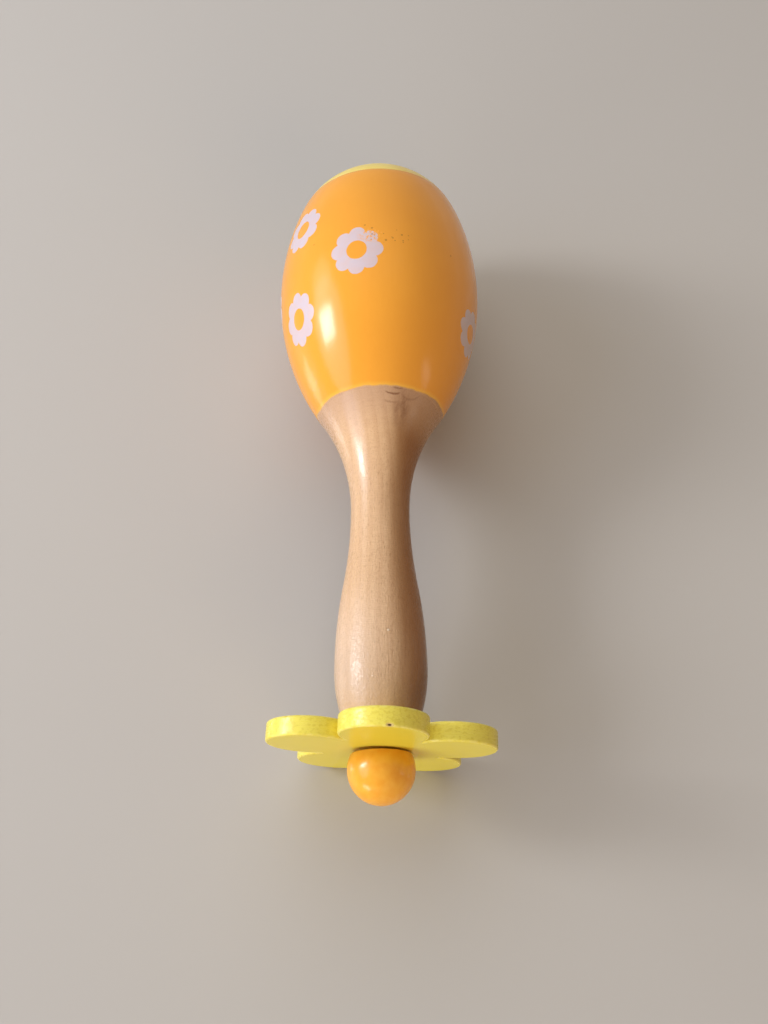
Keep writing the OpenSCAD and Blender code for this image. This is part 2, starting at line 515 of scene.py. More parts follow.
class Pad:
    """Writes one shader tree: adds nodes, sets their values and links them."""

    def __init__(self, tree: bpy.types.NodeTree) -> None:
        """Starts on a tree."""
        self.tree = tree

    def add(self, kind: str, **properties: object) -> bpy.types.Node:
        """Adds a node.

        Args:
            kind: The node's type name.
            properties: Properties of the node by name.

        Returns:
            The node.
        """
        node = self.tree.nodes.new(kind)
        for name, value in properties.items():
            setattr(node, name, value)
        return node

    def feed(self, socket: Socket, value: object) -> None:
        """Links a socket to another, or sets it to a plain value.

        Args:
            socket: The socket that is fed.
            value: A socket or a plain value.
        """
        if isinstance(value, Socket):
            self.tree.links.new(value, socket)
        else:
            socket.default_value = value

    def math(self, operation: str, *terms: object) -> Socket:
        """A number worked out from one to three terms.

        Args:
            operation: The operation's type name.
            terms: Sockets or plain values.

        Returns:
            The number.
        """
        node = self.add("ShaderNodeMath", operation=operation)
        for socket, term in zip(node.inputs, terms):
            self.feed(socket, term)
        return node.outputs[0]

    def times(self, *factors: object) -> Socket:
        """The product of two or more numbers.

        Args:
            factors: Sockets or plain numbers.

        Returns:
            The product.
        """
        product = factors[0]
        for factor in factors[1:]:
            product = self.math("MULTIPLY", product, factor)
        return product

    def hypot(self, x: Socket, y: Socket) -> Socket:
        """The length of a vector with two parts, sqrt(x^2 + y^2)."""
        return self.math("SQRT", self.math("ADD", self.times(x, x), self.times(y, y)))

    def vector(self, operation: str, *terms: object) -> Socket:
        """A vector, or the length of one, worked out from one or two terms.

        Args:
            operation: The operation's type name.
            terms: Sockets or plain values.

        Returns:
            The vector or the length.
        """
        node = self.add("ShaderNodeVectorMath", operation=operation)
        for socket, term in zip(node.inputs, terms):
            self.feed(socket, term)
        return node.outputs["Value" if operation in ("LENGTH", "DISTANCE") else "Vector"]

    def parts(self, vector: Socket) -> list[Socket]:
        """The three numbers of a vector.

        Args:
            vector: The vector.

        Returns:
            Its x, y and z.
        """
        node = self.add("ShaderNodeSeparateXYZ")
        self.feed(node.inputs[0], vector)
        return list(node.outputs)

    def step(self, value: object, low: object, high: object, start: float = 0.0, end: float = 1.0) -> Socket:
        """A smooth step.

        Args:
            value: What is compared.
            low: Where the step starts.
            high: Where it ends, which may be below low.
            start: Result at low.
            end: Result at high.

        Returns:
            The number between start and end.
        """
        node = self.add("ShaderNodeMapRange", interpolation_type="SMOOTHSTEP")
        for socket, term in zip(node.inputs, (value, low, high, start, end)):
            self.feed(socket, term)
        return node.outputs[0]

    def mix(self, factor: object, low: object, high: object) -> Socket:
        """A colour between two colours.

        Args:
            factor: Share of the second colour.
            low: First colour.
            high: Second colour.

        Returns:
            The mixed colour.
        """
        node = self.add("ShaderNodeMix", data_type="RGBA")
        for slot, term in zip((0, 6, 7), (factor, low, high)):
            self.feed(node.inputs[slot], term)
        return node.outputs[2]

    def layers(self, base: object, *layers: tuple[object, Colour]) -> Socket:
        """Lays colours on a base in order.

        Args:
            base: The colour below.
            layers: A mask and a colour for each layer.

        Returns:
            The colour.
        """
        for mask, colour in layers:
            base = self.mix(mask, base, colour)
        return base

    def noise(self, vector: Socket, size: tuple[float, float, float], detail: float = 2.0) -> Socket:
        """Soft noise whose grains have a size in millimetres on each axis.

        Args:
            vector: Place in millimetres.
            size: Size of a grain on each axis.
            detail: How many finer layers it has.

        Returns:
            A number about 0.5.
        """
        node = self.add("ShaderNodeTexNoise")
        self.feed(node.inputs["Vector"], self.vector("DIVIDE", vector, size))
        node.inputs["Scale"].default_value = 1.0
        node.inputs["Detail"].default_value = detail
        return node.outputs[0]

    def use(self, group: bpy.types.NodeTree, **inputs: object) -> bpy.types.Node:
        """Places a node group.

        Args:
            group: The group.
            inputs: Values of its inputs by name.

        Returns:
            The node.
        """
        node = self.add("ShaderNodeGroup", node_tree=group)
        for name, value in inputs.items():
            self.feed(node.inputs[name], value)
        return node


def new_group(name: str, inputs: dict[str, str],
              outputs: list[str]) -> tuple[Pad, bpy.types.Node, bpy.types.Node]:
    """Starts a shader node group.

    Args:
        name: Name of the group.
        inputs: Kind of each input, Vector or Float, by name.
        outputs: Names of its outputs, which are numbers.

    Returns:
        The pad to write it on, its input node and its output node.
    """
    tree = bpy.data.node_groups.new(name, "ShaderNodeTree")
    for label, kind in inputs.items():
        tree.interface.new_socket(name=label, in_out="INPUT", socket_type="NodeSocket" + kind)
    for label in outputs:
        tree.interface.new_socket(name=label, in_out="OUTPUT", socket_type="NodeSocketFloat")
    pad = Pad(tree)
    return pad, pad.add("NodeGroupInput"), pad.add("NodeGroupOutput")


@dataclass
class Effects:
    """Node groups that more than one finish uses, built once."""

    drift: bpy.types.NodeTree = field(init=False)
    ripple: bpy.types.NodeTree = field(init=False)
    specks: bpy.types.NodeTree = field(init=False)
    figure: bpy.types.NodeTree = field(init=False)

    def __post_init__(self) -> None:
        """Builds the groups."""
        self.drift = self.tone_drift()
        self.ripple = self.paint_ripple()
        self.specks = self.loose_specks()
        self.figure = self.wood_figure()

    @staticmethod
    def tone_drift() -> bpy.types.NodeTree:
        """Slow change of tone over a surface, with patches of a size in millimetres.

        Returns:
            The group.
        """
        pad, given, result = new_group("tone_drift", {"Vector": "Vector", "Patch": "Float"}, ["Drift"])
        grain = pad.add("ShaderNodeTexNoise")
        pad.feed(grain.inputs["Vector"], given.outputs["Vector"])
        pad.feed(grain.inputs["Scale"], pad.math("DIVIDE", 1.0, given.outputs["Patch"]))
        grain.inputs["Detail"].default_value = 3.0
        pad.feed(result.inputs["Drift"], pad.step(grain.outputs[0], 0.3, 0.7))
        return pad.tree

    @staticmethod
    def paint_ripple() -> bpy.types.NodeTree:
        """Height of dipped paint in millimetres: low swells, orange peel and fibres below.

        Returns:
            The group.
        """
        pad, given, result = new_group("paint_ripple", {"Vector": "Vector"}, ["Height"])
        place = given.outputs["Vector"]
        swell = pad.times(pad.noise(place, (7.0, 11.0, 7.0), 1.0), 0.030)
        peel = pad.times(pad.noise(place, (1.1, 1.1, 1.1), 1.0), 0.005)
        fibre = pad.times(pad.noise(place, (0.5, 9.0, 0.5), 1.0), 0.004)
        pad.feed(result.inputs["Height"], pad.math("ADD", swell, pad.math("ADD", peel, fibre)))
        return pad.tree

    @staticmethod
    def loose_specks() -> bpy.types.NodeTree:
        """Scattered round specks: a share of the cells of a given spacing holds one of a given radius.

        Returns:
            The group.
        """
        wanted = {"Vector": "Vector", "Spacing": "Float", "Radius": "Float", "Share": "Float"}
        pad, given, result = new_group("loose_specks", wanted, ["Mask"])
        cells = pad.add("ShaderNodeTexVoronoi")
        pad.feed(cells.inputs["Vector"], given.outputs["Vector"])
        pad.feed(cells.inputs["Scale"], pad.math("DIVIDE", 1.0, given.outputs["Spacing"]))
        gap = pad.times(cells.outputs["Distance"], given.outputs["Spacing"])
        dot = pad.step(gap, given.outputs["Radius"], pad.times(given.outputs["Radius"], 0.5))
        chosen = pad.math("LESS_THAN", pad.parts(cells.outputs["Color"])[0], given.outputs["Share"])
        pad.feed(result.inputs["Mask"], pad.times(dot, chosen))
        return pad.tree

    @staticmethod
    def wood_figure() -> bpy.types.NodeTree:
        """Growth rings round a pith beside the piece, with fibres and pores that run along it.

        Returns:
            The group.
        """
        pad, given, result = new_group("wood_figure", {"Vector": "Vector", "Pith": "Vector", "Ring": "Float"},
                                       ["Rings", "Fibres", "Pores"])
        place = given.outputs["Vector"]
        from_pith = pad.parts(pad.vector("SUBTRACT", place, given.outputs["Pith"]))
        radius = pad.hypot(from_pith[0], from_pith[2])
        wander = pad.times(pad.noise(place, (30.0, 160.0, 30.0), 2.0), 2.5)
        count = pad.math("DIVIDE", pad.math("ADD", radius, wander), given.outputs["Ring"])
        phase = pad.math("FRACT", count)
        late = pad.times(pad.step(phase, 0.25, 0.92), pad.step(phase, 1.0, 0.93))
        depth = pad.add("ShaderNodeTexWhiteNoise", noise_dimensions="1D")
        pad.feed(depth.inputs["W"], pad.math("FLOOR", count))
        strength = pad.math("MULTIPLY_ADD", depth.outputs["Value"], 0.7, 0.3)
        pad.feed(result.inputs["Rings"], pad.times(late, strength))
        pad.feed(result.inputs["Fibres"], pad.noise(place, (0.40, 7.0, 0.40), 3.0))
        pad.feed(result.inputs["Pores"], pad.step(pad.noise(place, (0.18, 1.8, 0.18), 1.0), 0.58, 0.70))
        return pad.tree


@dataclass(frozen=True)
class DaisyPrint:
    """A printed daisy with round petals and an open round middle, in millimetres."""

    petals: int = 8
    reach: float = 8.0
    petal_r: float = 2.5
    middle_r: float = 3.15
    softness: float = 0.10
    wobble: float = 0.22
    grain: float = 0.9
    depth: float = 5.0

    def group(self) -> bpy.types.NodeTree:
        """Node group with the daisy's mask, on a vector in millimetres in the print's own frame.

        The angle is folded into one petal, and the mask is the petal's circle joined with the disc
        through the petals' centres, less the middle.

        Returns:
            The group.
        """
        pad, given, result = new_group("daisy_print", {"Vector": "Vector"}, ["Mask"])
        place = given.outputs["Vector"]
        x, y, z = pad.parts(place)
        centre = self.reach - self.petal_r
        share = 2 * math.pi / self.petals
        radius = pad.hypot(x, y)
        angle = pad.math("ARCTAN2", y, x)
        whole = pad.times(pad.math("ROUND", pad.math("DIVIDE", angle, share)), share)
        folded = pad.math("SUBTRACT", angle, whole)
        off_x = pad.math("SUBTRACT", pad.times(radius, pad.math("COSINE", folded)), centre)
        off_y = pad.times(radius, pad.math("SINE", folded))
        petal = pad.math("SUBTRACT", self.petal_r, pad.hypot(off_x, off_y))
        disc = pad.math("SUBTRACT", centre, radius)
        outside_middle = pad.math("SUBTRACT", radius, self.middle_r)
        inside = pad.math("MINIMUM", pad.math("MAXIMUM", petal, disc), outside_middle)
        near = pad.math("SUBTRACT", self.depth, pad.math("ABSOLUTE", z))
        inside = pad.math("MINIMUM", inside, near)
        ragged = pad.math("SUBTRACT", pad.noise(place, (self.grain, self.grain, self.grain)), 0.5)
        edge = pad.math("ADD", inside, pad.times(ragged, self.wobble))
        pad.feed(result.inputs["Mask"], pad.step(edge, -self.softness, self.softness))
        return pad.tree


@dataclass
class Workshop:
    """What every piece is made with: the axis, the sizes and the shared effects."""

    axis: TurningAxis
    sizes: MaracaSizes
    effects: Effects

    def finish_piece(self, piece: bpy.types.Object, body: str, node: str, slot: str,
                     material: bpy.types.Material) -> None:
        """Dresses a new piece and ties it to the frame.

        Args:
            piece: The new piece.
            body: The body that it rides on.
            node: The CAD node that it stands for.
            slot: The record's material slot. It is not used.
            material: Its material.
        """
        piece.data.materials.append(material)
        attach(piece, body)
        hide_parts(node)


class Finish:
    """What every finish needs: the shader tree, its main shader and the place about the turning axis."""

    def __init__(self, name: str, shop: Workshop, roughness: float, specular: float = PAINT_SPECULAR) -> None:
        """Starts a material.

        Args:
            name: Name of the material.
            shop: The workshop with the axis, the sizes and the effects.
            roughness: Roughness where nothing changes it.
            specular: Specular level.
        """
        self.shop = shop
        self.material = bpy.data.materials.new(name)
        self.material.use_nodes = True
        self.pad = Pad(self.material.node_tree)
        self.shader = self.material.node_tree.nodes["Principled BSDF"]
        self.shader.inputs["Roughness"].default_value = roughness
        self.shader.inputs["Specular IOR Level"].default_value = specular
        lie = Matrix.Rotation(shop.axis.tilt, 4, "X")
        self.place = self.frame_vector(Matrix.Translation(shop.axis.tip) @ lie)
        self.beside, self.along, self.above = self.pad.parts(self.place)

    def frame_vector(self, frame: Matrix, stretch: tuple[float, float] = (1.0, 1.0)) -> Socket:
        """Place in millimetres in a frame whose origin is in metres.

        Args:
            frame: The frame's matrix.
            stretch: How far a millimetre stretches on the frame's x and y.

        Returns:
            The vector's socket.
        """
        source = self.pad.add("ShaderNodeTexCoord")
        mapping = self.pad.add("ShaderNodeMapping", vector_type="TEXTURE")
        mapping.inputs["Location"].default_value = frame.to_translation()
        mapping.inputs["Rotation"].default_value = frame.to_euler("XYZ")
        mapping.inputs["Scale"].default_value = (MM * stretch[0], MM * stretch[1], MM)
        self.pad.feed(mapping.inputs["Vector"], source.outputs["Object"])
        return mapping.outputs["Vector"]

    def wood_vector(self, place: Place, stretch: tuple[float, float] = (1.0, 1.0)) -> Socket:
        """Place in millimetres in the frame of a place on the wood, stretched on its x and y."""
        return self.frame_vector(self.shop.axis.surface_frame(self.shop.sizes, place), stretch)

    def noise(self, size: tuple[float, float, float], detail: float = 2.0) -> Socket:
        """Soft noise whose grains have a size beside, along and above the axis."""
        return self.pad.noise(self.place, size, detail)

    def effect(self, group: bpy.types.NodeTree, **inputs: object) -> Socket:
        """First output of a shared effect at the material's own place."""
        return self.pad.use(group, Vector=self.place, **inputs).outputs[0]

    def patch(self, place: Place, size: tuple[float, float, float]) -> Socket:
        """Distance from the middle of an oval patch on the wood, as a share of its half sizes.

        Args:
            place: The patch's middle.
            size: Half sizes across, along and out of the wood, in millimetres.

        Returns:
            The distance, 1 at the patch's edge.
        """
        return self.pad.vector("LENGTH", self.pad.vector("DIVIDE", self.wood_vector(place), size))

    def spot(self, place: Place, radius: float) -> Socket:
        """Mask of a round spot at a place on the wood, soft over the outer part of its radius.

        Args:
            place: The spot's place.
            radius: Radius of the spot in millimetres.

        Returns:
            The mask.
        """
        a, reach = math.radians(place.angle), self.shop.sizes.surface(place.height)[0]
        centre = (reach * math.cos(a), place.height, reach * math.sin(a))
        return self.pad.step(self.pad.vector("DISTANCE", self.place, centre), radius, radius * 0.4)

    def bump(self, height: Socket) -> None:
        """Feeds a height in millimetres to the shader's normal.

        Args:
            height: The height.
        """
        node = self.pad.add("ShaderNodeBump")
        node.inputs["Strength"].default_value = 1.0
        node.inputs["Distance"].default_value = MM
        self.pad.feed(node.inputs["Height"], height)
        self.pad.feed(self.shader.inputs["Normal"], node.outputs["Normal"])

    def colour(self, value: Socket) -> None:
        """Feeds the shader's base colour."""
        self.pad.feed(self.shader.inputs["Base Color"], value)

    def roughen(self, value: Socket) -> None:
        """Feeds the shader's roughness."""
        self.pad.feed(self.shader.inputs["Roughness"], value)


@dataclass(frozen=True)
class Smile:
    """A curved line of the grain under the paint, open towards the head, in millimetres round the knot."""

    across: float
    along: float
    half: float
    bow: float
    strength: float


@dataclass(frozen=True)
class TurnedWood:
    """Bare turned wood with growth rings, fibres and pores under a thin clear coat."""

    name: str
    pale: Colour = srgb(227, 188, 145)
    late: Colour = srgb(186, 138, 98)
    fibre: Colour = srgb(200, 156, 114)
    pore: Colour = srgb(160, 112, 72)
    pith: tuple[float, float, float] = (-70.0, 0.0, -12.0)
    ring: float = 3.0
    relief: float = 0.018
    roughness: float = 0.28
    specular: float = 0.36
    coat: float = 0.15
    coat_roughness: float = 0.15

    def material(self, shop: Workshop) -> bpy.types.Material:
        """Builds the material.

        Args:
            shop: The workshop with the axis, the sizes and the effects.

        Returns:
            The material.
        """
        finish = Finish(self.name, shop, self.roughness, self.specular)
        finish.shader.inputs["Coat Roughness"].default_value = self.coat_roughness
        finish.pad.feed(finish.shader.inputs["Coat Weight"], self.polish(finish))
        tone, rough, height = self.surface(finish)
        finish.colour(tone)
        finish.roughen(rough)
        finish.bump(height)
        return finish.material

    def polish(self, finish: Finish) -> Socket | float:
        """Weight of the clear coat, which is even on plain wood."""
        return self.coat

    def surface(self, finish: Finish) -> tuple[Socket, Socket, Socket]:
        """The wood's look, also for wood that shows beside another finish.

        Args:
            finish: The material that is written.

        Returns:
            The colour, the roughness and the height of the surface in millimetres.
        """
        pad, effects = finish.pad, finish.shop.effects
        figure = pad.use(effects.figure, Vector=finish.place, Pith=self.pith, Ring=self.ring).outputs
        drift = finish.effect(effects.drift, Patch=18.0)
        fibres = pad.step(figure["Fibres"], 0.36, 0.66)
        tooth = pad.step(finish.noise((1.6, 0.30, 1.6)), 0.40, 0.66)
        tone = pad.layers(self.pale, (pad.times(figure["Rings"], 0.36), self.late),
                          (pad.times(fibres, 0.36), self.fibre), (pad.times(drift, 0.2), self.fibre),
                          (pad.times(figure["Pores"], 0.34), self.pore), (pad.times(tooth, 0.09), self.pore))
        height = pad.times(pad.math("SUBTRACT", fibres, figure["Pores"]), self.relief)
        height = pad.math("MULTIPLY_ADD", tooth, -self.relief, height)
        tone, height = self.character(finish, tone, height)
        return tone, pad.math("MULTIPLY_ADD", fibres, 0.16, self.roughness - 0.06), height

    def character(self, finish: Finish, tone: Socket, height: Socket) -> tuple[Socket, Socket]:
        """Adds what only one piece has to its colour and height. Plain wood has nothing to add."""
        return tone, height


@dataclass(frozen=True)
class HandleWood(TurnedWood):
    """The handle's wood: heartwood with painted shade on one side, smoked near the paint, with turning lines
    and a knot.

    The stretches rubbed, painted_sheen_span and napped start and end at heights along the axis; over the
    sheen span a paler tone is a painted sheen. The stretches smoked, lined, faded and calmed start and end
    at distances below the neck.
    """

    coat_roughness: float = 0.14
    drop: Colour = srgb(246, 226, 198)
    # fresh is a painted sheen: a paler, whiter tone on the swell's left side that stands in for the light's
    # broad sheen.
    fresh: Colour = srgb(240, 210, 182)
    # Dark heartwood colour on the right flank: partly the wood's own colour, partly painted shade.
    heart_and_shade: Colour = srgb(140, 84, 22)
    smoke: Colour = srgb(190, 152, 125)
    stain: Colour = srgb(124, 78, 46)
    rubbed: tuple[float, float] = (60.0, 40.0)
    painted_sheen_span: tuple[float, float] = (62.0, 36.0)
    napped: tuple[float, float] = (70.0, 42.0)
    smoked: tuple[float, float] = (12.0, 0.0)
    lined: tuple[float, float] = (26.0, 6.0)
    faded: tuple[float, float] = (14.0, 4.0)
    calmed: tuple[float, float] = (28.0, 12.0)
    drop_at: Place = Place(41.8, 82.6)
    drop_r: float = 0.45
    knot: Place = Place(110.7, 78.0)
    smear: Place = Place(107.0, 67.5)
    smear_size: tuple[float, float, float] = (3.6, 8.0, PATCH_DEPTH)
    smiles: tuple[Smile, ...] = (
        Smile(-0.4, -0.35, 2.7, 0.08, 0.72), Smile(-0.6, -2.8, 2.6, 0.07, 0.28),
        Smile(1.0, 1.3, 1.8, 0.06, 0.5), Smile(5.0, -1.5, 3.4, 0.16, 0.3))

    def near_neck(self, finish: Finish, reach: tuple[float, float], start: float, end: float) -> Socket:
        """A step along the handle between two distances below the neck."""
        neck_z = finish.shop.sizes.neck_z
        return finish.pad.step(finish.along, neck_z - reach[0], neck_z - reach[1], start, end)

    def polish(self, finish: Finish) -> Socket:
        """Weight of the clear coat, thick towards the neck and thin on the swell and on the dark right side.

        Args:
            finish: The material that is written.

        Returns:
            The weight.
        """
        pad, waist_z = finish.pad, finish.shop.sizes.waist_z
        thick = pad.step(finish.along, waist_z - 18.0, waist_z + 10.0, 0.06, 0.4)
        return pad.times(thick, pad.step(finish.beside, -1.0, 7.0, 1.0, 0.15))

    def surface(self, finish: Finish) -> tuple[Socket, Socket, Socket]:
        """The wood's look, with a swell that hands have rubbed smooth.

        Args:
            finish: The material that is written.

        Returns:
            The colour, the roughness and the height of the surface in millimetres.
        """
        tone, rough, height = super().surface(finish)
        smooth = finish.pad.step(finish.along, *self.rubbed, 0.0, -0.10)
        return tone, finish.pad.math("ADD", rough, smooth), height

    def character(self, finish: Finish, tone: Socket, height: Socket) -> tuple[Socket, Socket]:
        """Adds the painted sheen on the swell, the heartwood with painted shade, smoked neck, turning lines,
        knot, smear and drop of varnish.

        Args:
            finish: The material that is written.
            tone: Colour so far.
            height: Height of the surface so far, in millimetres.

        Returns:
            The colour and the height.
        """
        pad = finish.pad
        # Painted sheen: the swell's left side is made paler and whiter, as the light's sheen would make it.
        pale = pad.times(pad.step(finish.along, *self.painted_sheen_span, 0.0, 0.5),
                         pad.step(finish.beside, 2.0, -7.0, 0.3, 1.0))
        smoked = self.near_neck(finish, self.smoked, 0.0, 0.56)
        lines = pad.step(finish.noise((5.0, 0.24, 5.0)), 0.50, 0.75)
        turned = pad.times(lines, self.near_neck(finish, self.lined, 0.03, 0.14))
        smear = pad.times(pad.step(finish.patch(self.smear, self.smear_size), 1.0, 0.1, 0.0, 0.6),
                          pad.step(finish.noise((1.5, 9.0, 1.5), 3.0), 0.25, 0.66))
        dot = finish.spot(self.drop_at, self.drop_r)
        tone = pad.layers(tone, (pale, self.fresh), (self.heartwood_and_shade(finish), self.heart_and_shade),
                          (smoked, self.smoke), (turned, self.pore), (smear, self.stain),
                          (self.knot_lines(finish), self.stain), (pad.times(dot, 0.85), self.drop))
        height = pad.times(height, self.near_neck(finish, self.calmed, 1.0, 0.3))
        height = pad.math("MULTIPLY_ADD", turned, -0.004, height)
        nap = pad.times(finish.noise((0.8, 1.3, 0.8), 1.0), pad.step(finish.along, *self.napped, 0.0, 0.10))
        height = pad.math("ADD", nap, height)
        return tone, pad.math("MULTIPLY_ADD", dot, 0.12, height)

    def heartwood_and_shade(self, finish: Finish) -> Socket:
        """Mask of the dark heartwood on the right, partly painted shade, with a wandering edge. It fades
        below and at the neck.

        Args:
            finish: The material that is written.

        Returns:
            The mask.
        """
        pad = finish.pad
        wander = pad.math("MULTIPLY_ADD", finish.noise((9.0, 50.0, 9.0)), 8.0, -4.0)
        # Painted shade in part: the right flank, away from the light, is darkened.
        right = pad.step(pad.math("ADD", finish.beside, wander), 0.5, 8.5, 0.0, 0.88)
        upper = pad.step(pad.math("ADD", finish.above, wander), -2.0, -9.0, 1.0, 0.25)
        return pad.times(right, upper, self.near_neck(finish, self.faded, 1.0, 0.66))

    def knot_lines(self, finish: Finish) -> Socket:
        """Mask of the curved grain lines above a hidden knot: each lies where y = along + bow x^2.

        Args:
            finish: The material that is written.

        Returns:
            The mask.
        """
        pad = finish.pad
        x, y, z = pad.parts(finish.wood_vector(self.knot))
        ragged = pad.math("MULTIPLY_ADD", finish.noise((0.8, 0.8, 0.8)), 0.5, -0.25)
        near = pad.step(pad.math("ABSOLUTE", z), 5.0, 4.0)
        mask: Socket | float = 0.0
        for smile in self.smiles:
            off = pad.math("SUBTRACT", x, smile.across)
            rise = pad.math("MULTIPLY_ADD", pad.times(off, off), -smile.bow, y)
            gap = pad.math("ABSOLUTE", pad.math("ADD", pad.math("SUBTRACT", rise, smile.along), ragged))
            reach = pad.step(pad.math("ABSOLUTE", off), smile.half, smile.half * 0.5)
            mask = pad.math("MAXIMUM", mask, pad.times(pad.step(gap, 0.45, 0.10, 0.0, smile.strength), reach))
        return pad.times(mask, near)


@dataclass(frozen=True)
class Daisy:
    """One print of the daisy: its place, and how far the print stretched across and along the wood."""

    place: Place
    across: float = 1.0
    along: float = 1.0


@dataclass(frozen=True)
class Speck:
    """One speck of grime: its place, its radius in millimetres and how strongly it shows."""

    place: Place
    radius: float
    strength: float = 0.5


@dataclass(frozen=True)
class HeadLacquer:
    """Orange gloss lacquer that stops a little above the joint, with printed daisies, a rub and specks."""

    orange: Colour = HEAD_ORANGE
    deep: Colour = srgb(236, 156, 46)
    thin: Colour = srgb(244, 184, 70)
    daisy: Colour = srgb(208, 193, 201)
    grime: Colour = srgb(126, 70, 22)
    fringe: float = 1.2
    bare: tuple[float, float] = (0.35, 0.95)
    under: float = 1.2
    wood: TurnedWood = HandleWood("bare_wood")
    roughness: float = 0.17
    rub: Place = Place(155.3, 96.0)
    rub_size: tuple[float, float, float] = (4.6, 3.2, PATCH_DEPTH)
    spread: Place = Place(154.6, 87.0)
    spread_size: tuple[float, float, float] = (9.0, 4.2, PATCH_DEPTH)
    specks: tuple[Speck, ...] = (
        Speck(Place(159.1, 99.4), 0.36), Speck(Place(155.5, 95.6), 0.42), Speck(Place(153.3, 88.2), 0.50),
        Speck(Place(154.2, 84.5), 0.34), Speck(Place(155.7, 79.6), 0.42), Speck(Place(157.8, 95.6), 0.44),
        Speck(Place(157.4, 130.0), 0.34), Speck(Place(154.5, 49.0), 0.42, 0.35),
        Speck(Place(153.6, 79.0), 0.30))
    daisies: tuple[Daisy, ...] = (
        Daisy(Place(150.5, 104.0, -2.0), 0.97, 1.01), Daisy(Place(167.5, 141.5, 12.0), 0.93),
        Daisy(Place(136.5, 147.6, -6.0), 0.89, 1.05), Daisy(Place(136.6, 18.7, 4.0), 1.0, 0.93),
        Daisy(Place(150.5, 185.0, 15.0)), Daisy(Place(166.5, 216.0, 30.0)), Daisy(Place(132.5, 208.0, 8.0)),
        Daisy(Place(149.0, 247.0, 26.0)), Daisy(Place(167.0, 284.0, 3.0)), Daisy(Place(133.5, 282.0, 18.0)),
        Daisy(Place(151.0, 322.0, 33.0)), Daisy(Place(168.5, 352.0, 9.0)))

    def material(self, shop: Workshop) -> bpy.types.Material:
        """Builds the material.

        Args:
            shop: The workshop with the axis, the sizes and the effects.

        Returns:
            The material.
        """
        finish = Finish("orange_lacquer", shop, self.roughness)
        pad, effects = finish.pad, shop.effects
        drift = finish.effect(effects.drift, Patch=26.0)
        streak = pad.step(finish.noise((0.9, 40.0, 0.9)), 0.35, 0.65)
        edge = self.paint_edge(finish)
        rubbed, grime = self.wear(finish)
        worn = finish.effect(effects.drift, Patch=2.2)
        mask = pad.times(self.prints(finish), pad.math("SUBTRACT", 1.0, rubbed),
                         pad.math("MULTIPLY_ADD", worn, -0.10, 0.98))
        tone = pad.layers(self.orange, (pad.times(drift, 0.45), self.deep),
                          (pad.times(streak, 0.12), self.deep),
                          (pad.step(edge, self.fringe, 0.1, 0.0, 0.8), self.thin),
                          (mask, self.daisy), (grime, self.grime))
        dull = pad.math("MULTIPLY_ADD", rubbed, 0.25, pad.math("MULTIPLY_ADD", mask, 0.14, self.roughness))
        bare = pad.step(edge, 0.28, -0.28)
        wood, grain, _ = self.wood.surface(finish)
        finish.colour(pad.mix(bare, tone, wood))
        finish.roughen(pad.math("MULTIPLY_ADD", bare, pad.math("SUBTRACT", grain, dull), dull))
        finish.bump(finish.effect(effects.ripple))
        return finish.material

    def paint_edge(self, finish: Finish) -> Socket:
        """Height above the paint's lower edge, which strays, and rises to the right and below.

        Args:
            finish: The material that is written.

        Returns:
            The height in millimetres, which is negative on bare wood.
        """
        pad = finish.pad
        stray = pad.math("MULTIPLY_ADD", finish.noise((3.0, 3.0, 3.0), 3.0), 0.7, -0.35)
        rise = pad.math("ADD", pad.step(finish.beside, 9.0, 17.0, *self.bare), stray)
        rise = pad.math("ADD", rise, pad.step(finish.above, 6.0, -3.0, 0.0, self.under))
        return pad.math("SUBTRACT", pad.math("SUBTRACT", finish.along, finish.shop.sizes.neck_z), rise)

    def prints(self, finish: Finish) -> Socket:
        """Mask of all the daisies together.

        Args:
            finish: The material that is written.

        Returns:
            The mask.
        """
        pad, group = finish.pad, DaisyPrint().group()
        mask: Socket | float = 0.0
        for daisy in self.daisies:
            place = finish.wood_vector(daisy.place, (daisy.across, daisy.along))
            mask = pad.math("MAXIMUM", mask, pad.use(group, Vector=place).outputs[0])
        return mask

    def wear(self, finish: Finish) -> tuple[Socket, Socket]:
        """Masks of the place where a daisy is rubbed and of the grime beside it and elsewhere.

        Args:
            finish: The material that is written.

        Returns:
            The mask of rubbed paint and the mask of grime.
        """
        pad, specks = finish.pad, finish.shop.effects.specks
        rubbed = pad.times(pad.step(finish.patch(self.rub, self.rub_size), 1.0, 0.45, 0.0, 0.85),
                           pad.step(finish.noise((0.6, 0.8, 0.6), 3.0), 0.47, 0.60))
        spread = pad.step(finish.patch(self.spread, self.spread_size), 1.0, 0.6, 0.0, 0.55)
        fine = finish.effect(specks, Spacing=1.2, Radius=0.24, Share=0.45)
        stray = finish.effect(specks, Spacing=7.0, Radius=0.24, Share=0.08)
        grime = pad.math("MAXIMUM", pad.times(fine, spread), pad.times(stray, 0.35))
        for speck in self.specks:
            dot = finish.spot(speck.place, speck.radius)
            grime = pad.math("MAXIMUM", grime, pad.times(dot, speck.strength))
        return rubbed, grime


